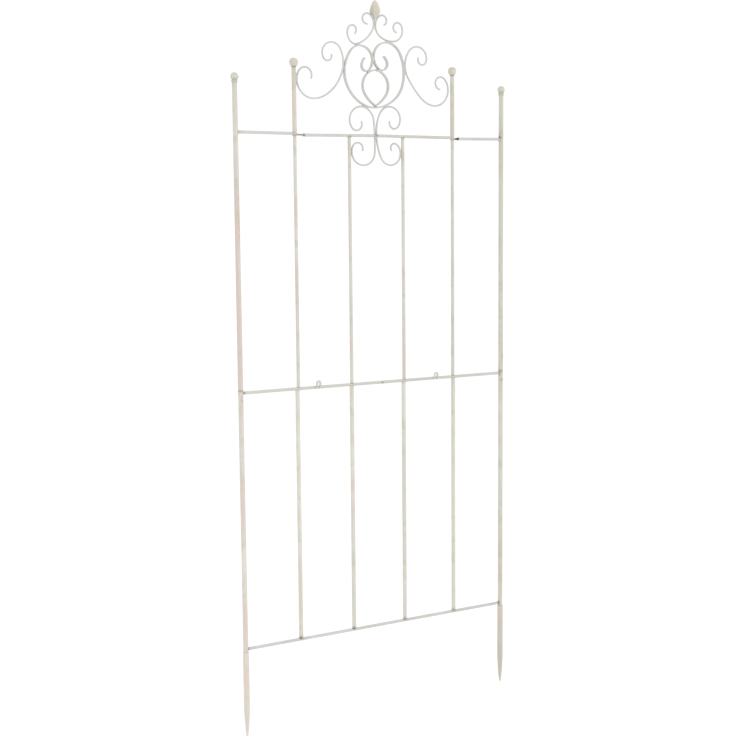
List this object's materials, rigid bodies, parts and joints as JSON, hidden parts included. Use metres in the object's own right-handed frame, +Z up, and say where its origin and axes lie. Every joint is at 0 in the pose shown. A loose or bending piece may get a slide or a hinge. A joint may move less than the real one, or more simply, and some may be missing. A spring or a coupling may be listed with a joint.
{
  "type": "garden trellis",
  "caption": "Tall two-part wrought garden trellis of upright bars between posts, with ground spikes, ball finials and a scrolled crest with a ring and a bud.",
  "frame": {"origin": "on the ground line, midway between the two outer posts, in the panel's middle plane", "axes": "+X along the rails to the right of someone who looks at the front, +Y from the front to the back, +Z up along the posts"},
  "size_m": [0.8204, 0.0288, 1.8965],
  "materials": {
    "post_paint": "satin",
    "bar_paint": "satin",
    "rail_paint": "satin",
    "scroll_paint": "satin",
    "spike_paint": "satin",
    "finial_paint": "satin",
    "dark_steel": "satin"
  },
  "bodies": {
    "lower_panel": {"lower_post_L": "post_paint", "lower_post_R": "post_paint", "ground_spike_L": "spike_paint", "ground_spike_R": "spike_paint", "mid_rail": "rail_paint", "bottom_rail": "rail_paint", "lower_bar_1": "bar_paint", "lower_bar_2": "bar_paint", "lower_bar_3": "bar_paint", "lower_bar_4": "bar_paint", "wall_eyelet_L": "bar_paint", "wall_eyelet_R": "bar_paint", "coupling_screw_L": "post_paint", "coupling_screw_R": "post_paint"},
    "upper_panel": {"upper_post_L": "post_paint", "upper_post_R": "post_paint", "coupling_spigot_L": "dark_steel", "coupling_spigot_R": "dark_steel", "upper_bar_1": "bar_paint", "upper_bar_2": "bar_paint", "upper_bar_3": "bar_paint", "upper_bar_4": "bar_paint", "top_rail_L": "rail_paint", "top_rail_mid_L": "rail_paint", "top_rail_mid_R": "rail_paint", "top_rail_R": "rail_paint", "rail_stud_L": "dark_steel", "rail_stud_R": "dark_steel", "rail_nut_L": "dark_steel", "rail_nut_R": "dark_steel", "crest_post_L": "post_paint", "crest_post_R": "post_paint", "finial_outer_L": "finial_paint", "finial_outer_R": "finial_paint", "finial_inner_L": "finial_paint", "finial_inner_R": "finial_paint", "bud_finial": "finial_paint", "top_scroll_L": "scroll_paint", "top_scroll_R": "scroll_paint", "lyre_scroll_L": "scroll_paint", "lyre_scroll_R": "scroll_paint", "teardrop_ring": "scroll_paint", "side_scroll_L": "scroll_paint", "side_scroll_R": "scroll_paint", "base_scroll_L": "scroll_paint", "base_scroll_R": "scroll_paint"}
  },
  "joints": [
    {"name": "upper_panel_lift", "type": "slide", "parent": "lower_panel", "child": "upper_panel", "axis": [0, 0, 1], "range_m": [0, 0.07]}
  ]
}
